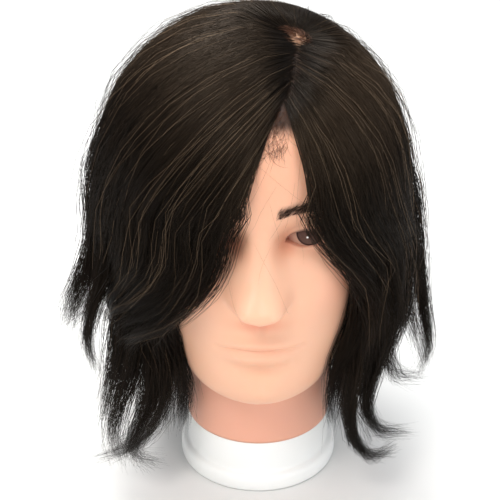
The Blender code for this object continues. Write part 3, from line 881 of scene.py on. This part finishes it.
def clearanceTable():
    # Polar reach of the sculpted head, so that no strand runs through it.
    angles = np.linspace(-math.pi, math.pi, 721)
    heights = np.arange(0.0, 0.3271, 0.001)
    table = np.zeros((len(heights), len(angles)))
    for i, z in enumerate(heights):
        level = np.full(len(angles), max(z, head["bottom"]))
        x, y, _ = headPlace(angles, level)
        real = np.unwrap(np.arctan2(x, -y))
        order = np.argsort(real)
        table[i] = np.interp(angles, real[order], np.hypot(x, y)[order])
        if z < head["bottom"]:
            table[i] = base["flange"] if z < base["flangeTop"] else base["wall"]
    return heights, angles, table


clearance = clearanceTable()


def headReach(angle, z):
    heights, angles, table = clearance
    row = np.clip(z / 0.001, 0, len(heights) - 1.001)
    column = np.clip((angle + math.pi) / (angles[1] - angles[0]), 0, len(angles) - 1.001)
    i = row.astype(int)
    j = column.astype(int)
    u = row - i
    v = column - j
    low = table[i, j] * (1 - v) + table[i, j + 1] * v
    high = table[i + 1, j] * (1 - v) + table[i + 1, j + 1] * v
    return low * (1 - u) + high * u


def outerReach(angle, z):
    right, left, ahead, behind = (
        smoothCurve(hair["reach" + name], z, 0.006) for name in ("Right", "Left", "Ahead", "Behind")
    )
    width = np.where(angle < 0.0, right, left)
    depth = np.where(np.cos(angle) > 0.0, ahead, behind)
    across = (np.abs(np.sin(angle)) / width) ** 2.15
    along = (np.abs(np.cos(angle)) / depth) ** 2.15
    return (across + along) ** (-1.0 / 2.15)


def frontEdge(side, layer, z):
    # Angle of the hair's front edge, between its outer and inner layers.
    right, left = (
        smoothCurve(hair[name + "Outer"], z, 0.004) * layer
        + smoothCurve(hair[name + "Inner"], z, 0.004) * (1.0 - layer)
        for name in ("edgeRight", "edgeLeft")
    )
    return np.where(side < 0, right, left)


def domePlaces(direction):
    # Where one direction from the middle of the skull meets the scalp and the hair's outside.
    flat = np.maximum(np.hypot(direction[..., 0], direction[..., 1]), 1e-9)
    angle = np.arctan2(direction[..., 0], direction[..., 1])
    level = np.full(angle.shape, head["equator"])
    up = np.maximum(direction[..., 2], 0.0)
    places = []
    plain, _ = headRadius(angle, level)
    for reach, rise, power in (
        (plain + 0.0006, head["top"] - head["equator"] + 0.0006, head["domePower"]),
        (outerReach(angle, level), hair["rise"], hair["domePower"]),
    ):
        scale = ((flat / reach) ** power + (up / rise) ** power) ** (-1.0 / power)
        lift = np.clip(up * scale / rise, 0.0, 1.0)
        x = direction[..., 0] * scale
        forward = direction[..., 1] * scale - head["setBack"] * lift**2
        places.append(np.stack([x, forward, head["equator"] + up * scale], axis=-1))
    return places


def unit(vectors):
    return vectors / np.maximum(np.linalg.norm(vectors, axis=-1, keepdims=True), 1e-12)


def flowPaths(side, q, start, tipZ, layer, points):
    # Paths of strands from the part or crown, over the skull, down and outward to their tips.
    count = len(q)
    along = np.clip(q / 0.34, 0.0, 1.0)[:, None]
    whorl = np.array(hair["whorl"])
    front = np.array(hair["partFront"])
    sway = np.sin(q * 911.0 + start * 577.0)[:, None] * side[:, None]
    root = front + (whorl - front) * along + sway * np.array((0.0022, 0.0, 0.0))
    edging = smoothStep(0.075, 0.0, q)[:, None] * (side < 0)[:, None]
    root = unit(root + (np.array(hair["hairlineFront"]) - front) * edging)
    edge0 = np.where(side < 0, hair["edgeRightOuter"][-1][1], hair["edgeLeftOuter"][-1][1])
    edge1 = np.where(side < 0, hair["edgeRightInner"][-1][1], hair["edgeLeftInner"][-1][1])
    bent = q**0.92
    edge = edge0 * layer + edge1 * (1.0 - layer)
    ringAngle = side * np.radians(edge + (180.0 - edge) * bent)
    ring = np.stack([np.sin(ringAngle), np.cos(ringAngle), np.zeros(count)], axis=-1)
    turn = np.arccos(np.clip((root * ring).sum(axis=-1), -1.0, 1.0))
    domeRun = turn * hair["overSkull"]
    total = domeRun + (head["equator"] - tipZ)
    first = start * (domeRun + hair["rootsBelow"]) + hair["bareWhorl"] * smoothStep(0.26, 0.36, q)
    share = np.linspace(0.0, 1.0, points) ** 0.92
    total = np.maximum(total, first + 0.012)
    run = first[:, None] + (total - first)[:, None] * share[None, :]
    f = np.clip(run / domeRun[:, None], 0.0, 1.0)
    sine = np.maximum(np.sin(turn), 1e-4)[:, None]
    a = (np.sin((1.0 - f) * turn[:, None]) / sine)[..., None]
    b = (np.sin(f * turn[:, None]) / sine)[..., None]
    scalp, outside = domePlaces(a * root[:, None, :] + b * ring[:, None, :])
    z = np.maximum(head["equator"] - np.maximum(run - domeRun[:, None], 0.0), 0.004)
    stray = np.exp(-q / 0.05) * np.abs(np.sin(q * 7919.0 + start * 3571.0)) ** 6
    edge = frontEdge(side[:, None], layer[:, None], z)
    edge = np.maximum(edge - hair["strayDegrees"] * stray[:, None], 2.0)
    angle = side[:, None] * np.radians(edge + (180.0 - edge) * bent[:, None])
    inner = np.maximum(headReach(angle, z) + 0.0008, smoothCurve(hair["reachInner"], z, 0.006))
    outer = np.maximum(outerReach(angle, z), inner + 0.004)
    below = run > domeRun[:, None]
    for place, reach in ((scalp, inner), (outside, outer)):
        place[..., 0] = np.where(below, reach * np.sin(angle), place[..., 0])
        place[..., 1] = np.where(below, reach * np.cos(angle), place[..., 1])
        place[..., 2] = np.where(below, z, place[..., 2])
    grown = run - first[:, None]
    rise = layer[:, None] * smoothStep(0.0, 1.0, grown / hair["lift"])
    path = scalp + (outside - scalp) * rise[..., None]
    return path, grown, total - first


def growHair(seed):
    # Roots first, then locks that gather the strands towards their tips.
    rng = np.random.default_rng(seed)
    count = hair["count"]
    side = np.where(rng.random(count) < hair["rightShare"], -1.0, 1.0)
    q = rng.random(count)
    start = rng.random(count) ** 1.3
    start[rng.random(count) < 0.22] *= 0.08
    layer = np.clip(1.0 - 0.86 * start + rng.normal(0.0, 0.08, count), 0.02, 1.03)
    start = rootsOnScalp(side, q, start, layer)
    locks = hair["locks"]
    pick = rng.choice(count, locks, replace=False)
    far = ((q[:, None] - q[pick]) / 0.030) ** 2 + ((layer[:, None] - layer[pick]) / 0.22) ** 2
    far += 1000.0 * (side[:, None] != side[pick])
    owner = np.argmin(far * rng.uniform(0.55, 1.8, (count, locks)), axis=1)
    lockTip = rng.normal(0.0, hair["lockTips"], locks)
    degrees = 180.0 * q
    tipOuter = smoothCurve(hair["tipsOuter"], degrees, 0.0)
    tipInner = smoothCurve(hair["tipsInner"], degrees, 0.0)
    tipZ = tipInner + (tipOuter - tipInner) * layer**2.0 + lockTip[owner]
    tipZ += np.abs(rng.normal(0.0, hair["tipSpread"], count))
    path, grown, length = flowPaths(side, q, start, tipZ, layer, hair["points"])
    core = flowPaths(side, q[pick][owner], start, tipZ, layer[pick][owner], hair["points"])[0]
    share = grown / length[:, None]
    gather = hair["gather"] * smoothStep(0.05, 0.95, share)
    gather = gather * rng.uniform(0.45, 1.15, count)[:, None]
    path = path + (core - path) * gather[..., None]

    # Waves and flips shared by a lock, then each strand's own waver.
    out = path.copy()
    out[..., 2] = 0.0
    out = unit(out)
    around = np.stack([out[..., 1], -out[..., 0], np.zeros(out.shape[:2])], axis=-1)
    phase = rng.uniform(0.0, 6.28, locks)[owner][:, None]
    wave = rng.uniform(0.085, 0.170, locks)[owner][:, None]
    swing = hair["swing"] * smoothStep(0.25, 1.0, share) * np.sin(grown / wave * 6.28 + phase)
    path = path + around * swing[..., None]
    left = (1.0 - share) * length[:, None]
    curl = smoothStep(hair["curlLength"], 0.0, left)
    flip = rng.normal(*hair["flip"], locks)[owner][:, None] * curl**1.5
    twist = rng.normal(0.0, hair["twist"], locks)[owner][:, None] * curl**1.3
    path = path + out * flip[..., None] + around * twist[..., None]
    path[..., 2] += np.abs(flip) * 0.35
    return keepClear(waver(path, grown, share, rng)), side, q, start, owner


def waver(path, grown, share, rng):
    count = len(path)
    for axis in range(3):
        wave = rng.uniform(0.070, 0.160, count)[:, None]
        phase = rng.uniform(0.0, 6.28, count)[:, None]
        strength = rng.uniform(*hair["waver"], count)[:, None] * smoothStep(0.0, 0.7, share)
        path[..., axis] += strength * np.sin(grown / wave * 6.28 + phase)
    return path


def rootsOnScalp(side, q, start, layer):
    # Pulls every root back up behind the hairline.
    for _ in range(12):
        path, _, _ = flowPaths(side, q, start, np.full(len(q), 0.05), layer, 2)
        root = path[:, 0]
        line = hairlineHeight(np.arctan2(root[:, 0], root[:, 1]))
        start = np.where(root[:, 2] < line + 0.002, start * 0.80, start)
    return start


def runAlong(line):
    return np.concatenate([[0.0], np.cumsum(np.linalg.norm(np.diff(line, axis=0), axis=1))])


def growLocks(seed):
    # The named locks: each gathers its strands onto one line of places near its tip.
    rng = np.random.default_rng(seed)
    shares = np.linspace(0.0, 1.0, hair["points"])
    paths = []
    facts = []
    for lock in looseLocks.values():
        side, middle, depth, roots, width, count, spread = lock[:7]
        places = inMetres(*lock[7:])
        spread /= 1000.0
        side = np.full(count + 1, float(side))
        q = np.abs(middle + rng.normal(0.0, width, count + 1))
        layer = np.clip(depth + rng.normal(0.0, 0.10, count + 1), 0.05, 1.03)
        start = rng.random(count + 1) ** 1.2 * roots
        q[0], layer[0], start[0] = middle, depth, 0.5 * roots  # the first strand leads the lock
        start = rootsOnScalp(side, q, start, layer)
        tipZ = np.full(count + 1, places[0, 2] - 0.03)
        path = flowPaths(side, q, start, tipZ, layer, 40)[0]
        lead = path[0]
        lead = lead[np.linalg.norm(lead - places[0], axis=1) > 0.022]
        lead = lead[lead[:, 2] > places[0, 2] + 0.012][::4]
        knots = np.concatenate([lead, places])
        run = runAlong(knots)
        length = run[-1]
        join = run[len(lead)] / length
        at = shares[None, :] * rng.uniform(0.86, 1.0, count)[:, None] * length
        core = np.stack([
            smoothCurve(np.stack([run, knots[:, k]], axis=1), at, 0.004) for k in range(3)
        ], axis=-1)
        own = np.empty((count, len(shares), 3))
        for i, line in enumerate(path[1:]):
            mine = runAlong(line)
            for k in range(3):
                own[i, :, k] = np.interp(np.minimum(shares * length, mine[-1]), mine, line[:, k])
        pull = smoothStep(max(join - 0.34, 0.0), join + 0.04, shares)[None, :, None]
        narrow = (1.0 - 0.62 * smoothStep(join, 1.0, shares))[None, :, None]
        core = core + rng.normal(0.0, 1.0, (count, 1, 3)) * spread * narrow
        fan = rng.normal(0.0, 1.0, (count, 1, 3)) * spread * 0.55
        fan = fan * (smoothStep(0.72, 1.0, shares) ** 1.5)[None, :, None]
        bent = own * (1.0 - pull) + core * pull + fan
        share = np.broadcast_to(shares, (count, len(shares)))
        paths.append(waver(bent, share * length, share, rng))
        facts.append(np.stack([side[1:], q[1:], start[1:]]))
    return keepClear(np.concatenate(paths)), *np.concatenate(facts, axis=1)


def keepClear(path, gap=0.0010):
    angle = np.arctan2(path[..., 0], path[..., 1])
    reach = np.hypot(path[..., 0], path[..., 1])
    z = np.clip(path[..., 2], 0.0, 0.326)
    low = path[..., 2] < head["equator"]
    need = np.where(low, headReach(angle, z) + gap, 0.0)
    scale = np.maximum(need / np.maximum(reach, 1e-6), 1.0)
    path[..., 0] *= scale
    path[..., 1] *= scale
    path[..., 0] = np.clip(path[..., 0], -hair["halfWidth"], hair["halfWidth"])
    path[..., 2] = np.maximum(path[..., 2], 0.0012)
    return path


def strandTemplate(rings):
    bm = bmesh.new()
    bmesh.ops.create_cone(bm, cap_ends=True, segments=3, radius1=1.0, radius2=1.0, depth=1.0)
    uprights = [e for e in bm.edges if abs(e.verts[0].co.z - e.verts[1].co.z) > 0.5]
    bmesh.ops.subdivide_edges(bm, edges=uprights, cuts=rings - 2)
    bmesh.ops.reverse_faces(bm, faces=bm.faces[:])  # laying it on a path mirrors it back
    bm.loops.layers.uv.new("OFBake")
    return meshFrom(bm, "strand")


def strandObject(name, path, radius, material):
    # Repeats one strand along an array, then lays each copy on its own path.
    count, rings, _ = path.shape
    item = placeObject(name, strandTemplate(rings))
    if count > 1:
        array = item.modifiers.new("Repeat", "ARRAY")
        array.count = count
        array.use_relative_offset = False
        array.use_constant_offset = True
        array.constant_offset_displace = (0.0, 0.0, 0.0)
    depsgraph = bpy.context.evaluated_depsgraph_get()
    mesh = bpy.data.meshes.new_from_object(item.evaluated_get(depsgraph))
    single = item.data
    item.modifiers.clear()
    item.data = mesh
    bpy.data.meshes.remove(single)
    mesh.name = name
    per = len(mesh.vertices) // count
    co = np.empty(len(mesh.vertices) * 3)
    mesh.vertices.foreach_get("co", co)
    co = co.reshape(count, per, 3)[0]
    ring = np.rint((co[:, 2] + 0.5) * (rings - 1)).astype(int)
    turn = np.arctan2(co[:, 1], co[:, 0])
    real = path * (1.0, -1.0, 1.0)
    ahead = unit(np.gradient(real, axis=1))
    away = real.copy()
    away[..., 2] = (real[..., 2] - 0.15) * 0.6
    across = unit(np.cross(ahead, away))
    up = np.cross(across, ahead)
    share = np.linspace(0.0, 1.0, rings)
    wide = radius[:, None] * np.interp(share, (0.0, 0.12, 0.75, 1.0), (0.55, 1.0, 0.85, 0.16))
    spot = real[:, ring]
    spot = spot + across[:, ring] * (wide[:, ring] * np.cos(turn))[..., None]
    spot = spot + up[:, ring] * (wide[:, ring] * np.sin(turn))[..., None]
    mesh.vertices.foreach_set("co", spot.reshape(-1))

    # Along each strand across the map, and one strand after another up it.
    index = np.empty(len(mesh.loops), dtype=int)
    mesh.loops.foreach_get("vertex_index", index)
    corner = np.where(np.sin(turn[index % per]) > 0.5, 0.8, 0.2)
    spotUv = np.stack([share[ring[index % per]], (index // per + corner) / count], axis=1)
    mesh.uv_layers["OFBake"].data.foreach_set("uv", np.minimum(spotUv, 1.0).reshape(-1))
    mesh.update()
    mesh.shade_smooth()
    mesh.materials.append(material)
    return item


strandLook = {
    "coarse": 70.0,  # locks, bands and single strands across a section
    "bands": 430.0,
    "single": 900.0,
    "bandLight": 0.09,
    "crownSheen": 0.17,
    "paleOnes": 0.42,
    "warmTips": 0.35,
    "roughness": 0.37,
    "specular": 0.15,
    "specularTint": (1.0, 0.84, 0.68),
}


def strandGroup():
    # Colour of a strand by how far along it is and which one it is.
    kit, given, out = newGroup(
        "strandColour", ("Along", "Which"), ("Dark", "Warm", "Pale"), {"Color": "NodeSocketColor"},
    )
    look = strandLook
    along, which, dark, warm, pale = (given[k] for k in ("Along", "Which", "Dark", "Warm", "Pale"))
    single = kit.streak(which, look["single"], 1.0)
    colour = kit.mix(kit.ramp(single, 0.30, 0.75), dark, warm)
    colour = kit.mix(kit.ramp(kit.streak(which, look["coarse"]), 0.40, 0.70), colour, dark)
    band = kit.ramp(kit.streak(which, look["bands"]), 0.48, 0.68)
    colour = kit.tint(colour, band, look["bandLight"], pale)
    # Lighter from just past the root to near halfway along: a painted sheen where the top light
    # falls on the crown.
    crownSheenMask = kit.times(kit.ramp(along, 0.03, 0.12), kit.ramp(along, 0.42, 0.16))
    colour = kit.tint(colour, crownSheenMask, look["crownSheen"], pale)
    colour = kit.tint(colour, kit.ramp(single, 0.77, 0.83), look["paleOnes"], pale)
    colour = kit.tint(colour, kit.ramp(along, 0.70, 1.0), look["warmTips"], warm)
    kit.put(out, {"Color": colour})
    return kit.tree


strandColour = strandGroup()


def hairMaterial(name, dark, warm, pale):
    material = newMaterial(name)
    kit = Nodes(material.node_tree)
    u, v, _ = kit.split(kit.add("ShaderNodeUVMap", uv_map="OFBake").outputs[0])
    shades = {"Along": u, "Which": v, "Dark": dark, "Warm": warm, "Pale": pale}
    kit.finish({
        "Base Color": kit.group(strandColour, shades)["Color"],
        "Roughness": strandLook["roughness"],
        "Specular IOR Level": strandLook["specular"],
        "Specular Tint": strandLook["specularTint"],
    })
    return material


def sectionOf(side, q, start):
    # Which of the stylist's sections a strand belongs to.
    degrees = 8.0 + 172.0 * q
    names = np.full(len(q), "back", dtype=object)
    names[degrees < 108.0] = "side"
    names[degrees < 72.0] = "temple"
    names[degrees < 38.0] = "fringe"
    names[(degrees >= 108.0) & (start > 0.45)] = "nape"
    ends = np.where(side < 0, "right", "left")
    return np.array([f"{a}_{b}" for a, b in zip(names, ends)])


def strandPieces(name, path, radius, material, node=None):
    # One section as pieces of a size that stays light.
    parts = math.ceil(len(path) / hair["perPiece"])
    for k, chosen in enumerate(np.array_split(np.arange(len(path)), parts)):
        label = name if parts == 1 else f"{name}_{k + 1}"
        item = strandObject(label, path[chosen], radius[chosen], material)
        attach(item, "root")
        if node:
            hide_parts(node)


def makeHair():
    path, side, q, start, owner = growHair(11)
    lockPath, *lockFacts = growLocks(23)
    rng = np.random.default_rng(5)
    section = sectionOf(side, q, start)
    section[(start < 0.05) & (rng.random(len(q)) < 0.22)] = "crown"
    lockSection = sectionOf(*lockFacts)
    order = np.lexsort((q, owner))
    material = hairMaterial("blackBrownHair", *hair["colours"])
    for name in sorted(set(section)):
        chosen = order[section[order] == name]
        joined = np.concatenate([path[chosen], lockPath[lockSection == name]])
        radius = hair["radius"] * rng.uniform(0.65, 1.25, len(joined))
        strandPieces("strands_" + name, joined, radius, material, "hair_" + name)
        print("  ", name, len(joined), "strands")
    makeFlyaways(path, start, material)
    print("stage: hair")


flyaways = {"count": 700, "dark": 540, "rise": 0.0075, "thin": 0.62, "paleThin": 0.75}


def makeFlyaways(path, start, material):
    # Single hairs that lift off the surface, some of them pale.
    rng = np.random.default_rng(31)
    count = flyaways["count"]
    dark = flyaways["dark"]
    loose = path[rng.choice(np.nonzero(start < 0.12)[0], count, replace=False)].copy()
    share = np.linspace(0.0, 1.0, loose.shape[1])[None, :]
    lift = (0.0012 + flyaways["rise"] * rng.random(count) ** 2.2)[:, None]
    lift = lift * smoothStep(0.02, 0.30, share)
    loose += unit(loose - (0.0, 0.0, 0.18)) * lift[..., None]
    for axis in range(3):
        wave = rng.uniform(0.7, 2.2, count)[:, None]
        phase = rng.uniform(0.0, 6.28, count)[:, None]
        amount = rng.uniform(0.001, 0.0090, count)[:, None] * smoothStep(0.0, 0.6, share)
        loose[..., axis] += amount * np.sin(share / wave * 6.28 + phase)
    loose = keepClear(np.clip(loose, (-0.138, -0.138, -1.0), (0.138, 0.136, 1.0)))
    thin = np.full(count, hair["radius"] * flyaways["thin"])
    pale = hairMaterial("paleHair", *hair["paleColours"])
    strandPieces("looseHairs", loose[:dark], thin[:dark], material)
    strandPieces("paleHairs", loose[dark:], flyaways["paleThin"] * thin[dark:], pale)


makeHair()

brows = {
    "strokes": 330,
    "radius": 0.00011,
    "short": 0.0038,
    "long": 0.0066,
    "colours": ((0.014, 0.008, 0.006), (0.040, 0.020, 0.014), (0.07, 0.038, 0.026)),
}

wisps = {
    "radius": 0.00008,
    "colours": ((0.045, 0.017, 0.010), (0.12, 0.050, 0.028), (0.22, 0.11, 0.06)),
    # How many, how thick, degrees of turn and its spread, bend, shortest, longest, lift, arch.
    "hairline": (260, 1.0, -118.0, 34.0, 0.9, 0.004, 0.014, 0.0001, 0.0012),
    "face": (22, 0.55, -92.0, 22.0, 0.35, 0.020, 0.060, 0.0008, 0.0014),
    "whorlCount": 190,
    "whorlThick": 2.0,
    "whorlAt": (0.0240, -0.0110),
}


def onSkin(tree, x, z, lift):
    # The skin's surface straight ahead of one place, moved out by lift.
    hit = tree.ray_cast(Vector((x, -0.3, z)), Vector((0.0, 1.0, 0.0)))
    if hit[0] is None:
        return (x, 0.09, z)
    spot = hit[0] + hit[1] * lift
    return (spot.x, -spot.y, spot.z)


def makeBrows(tree):
    rng = np.random.default_rng(41)
    material = hairMaterial("browHair", *brows["colours"])
    for name, sign in (("brow_left", 1.0), ("brow_right", -1.0)):
        paths = []
        for _ in range(brows["strokes"]):
            side = 0.0095 + 0.0345 * rng.random() ** 0.9
            middle, half = (float(value) for value in browLine(np.array(side)))
            out = np.clip((side - 0.010) / 0.026, 0.0, 1.0)
            turn = math.radians(76.0 - 54.0 * out + rng.normal(0.0, 7.0))
            length = rng.uniform(brows["short"], brows["long"])
            z = middle + half * rng.uniform(-1.0, 0.55) - 0.0012 * (1.0 - out)
            line = []
            for t in np.linspace(0.0, 1.0, 6):
                px = side + math.cos(turn - 0.25 * t) * length * t
                pz = z + math.sin(turn - 0.25 * t) * length * t * 0.85
                line.append(onSkin(tree, sign * px, pz, -0.0002 + 0.0011 * math.sin(2.4 * t)))
            paths.append(line)
        radius = brows["radius"] * rng.uniform(0.7, 1.2, len(paths))
        item = strandObject(name + "_hairs", np.array(paths), radius, material)
        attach(item, "root")
        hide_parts(name)


def creepingHair(tree, rng, x, z, turn, turnSpread, bend, short, long, lift, arch):
    # A fine hair that creeps over the skin from one place.
    turn = math.radians(rng.normal(turn, turnSpread))
    bend = rng.normal(0.0, bend)
    length = rng.uniform(short, long)
    line = []
    for t in np.linspace(0.0, 1.0, 7):
        line.append(onSkin(tree, x, z, lift + arch * math.sin(3.0 * t)))
        x += math.cos(turn + bend * t) * length / 6.0
        z += math.sin(turn + bend * t) * length / 6.0
    return line


def makeWisps(tree):
    # Short fine hairs at the hairline and the whorl, and a few that fall over the face.
    rng = np.random.default_rng(43)
    lines = []
    thick = []
    count, wide, *facts = wisps["hairline"]
    for _ in range(count):
        x = rng.uniform(-0.010, 0.017)
        z = 0.300 - 0.000495 * (17.0 - 1000.0 * x) - 0.020 * rng.random() ** 1.5
        lines.append(creepingHair(tree, rng, x, z, *facts))
        thick.append(wide)
    for _ in range(wisps["whorlCount"]):
        turn = rng.uniform(0.0, 6.28)
        far = rng.uniform(0.0010, 0.0100)
        length = rng.uniform(0.003, 0.008)
        line = []
        for t in np.linspace(0.0, 1.0, 7):
            bend = turn + 0.9 * t
            px = wisps["whorlAt"][0] + math.cos(turn) * far + math.cos(bend) * length * t
            py = wisps["whorlAt"][1] + math.sin(turn) * far + math.sin(bend) * length * t
            hit = tree.ray_cast(Vector((px, py, 0.4)), Vector((0.0, 0.0, -1.0)))[0]
            line.append((px, -py, hit.z + 0.0001 + 0.0022 * t))
        lines.append(line)
        thick.append(wisps["whorlThick"])
    count, wide, *facts = wisps["face"]
    for _ in range(count):
        x = rng.uniform(-0.030, 0.024)
        z = rng.uniform(0.215, 0.290)
        lines.append(creepingHair(tree, rng, x, z, *facts))
        thick.append(wide)
    material = hairMaterial("fineHair", *wisps["colours"])
    radius = wisps["radius"] * np.array(thick)
    item = strandObject("hairlineWisps", np.array(lines), radius, material)
    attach(item, "root")


skinBm = bmesh.new()
skinBm.from_mesh(skin.data)
skinTree = BVHTree.FromBMesh(skinBm)
skinBm.free()
makeBrows(skinTree)
makeWisps(skinTree)
print("stage: brows and hairline")


inside = {
    # Name, light and dark colour, scale, roughness, fineness of the grain, metal.
    "foam_core": ("foamRubber", (0.72, 0.60, 0.36), (0.60, 0.47, 0.26), 90.0, 0.85, 14.0, 0.0),
    "neck_insert": ("insertPlastic", (0.60, 0.60, 0.58), (0.52, 0.52, 0.50), 60.0, 0.48, 30.0, 0.0),
    "clamp_socket": (
        "socketPlastic", (0.08, 0.08, 0.085), (0.05, 0.05, 0.055), 60.0, 0.5, 30.0, 0.0,
    ),
    "base_screw": ("screwSteel", (0.56, 0.55, 0.53), (0.42, 0.41, 0.40), 220.0, 0.34, 12.0, 1.0),
}


def plainMaterial(name, light, dark, scale, roughness, fine, metallic):
    material = newMaterial(name)
    kit = Nodes(material.node_tree)
    place = kit.place()
    kit.finish({"Base Color": kit.mix(kit.noise(place, scale), light, dark), "Metallic": metallic})
    gloss = (scale * 6.0, 2.0, roughness - 0.08, 0.16)
    kit.grain(place, gloss, (scale * fine, 0.6), 0.25, 0.0003)
    return material


def finishInside():
    for start, facts in inside.items():
        material = plainMaterial(*facts)
        for name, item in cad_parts.items():
            if name.startswith(start):
                for place in item.material_slots:
                    place.material = material


finishInside()
print("stage: inner parts")
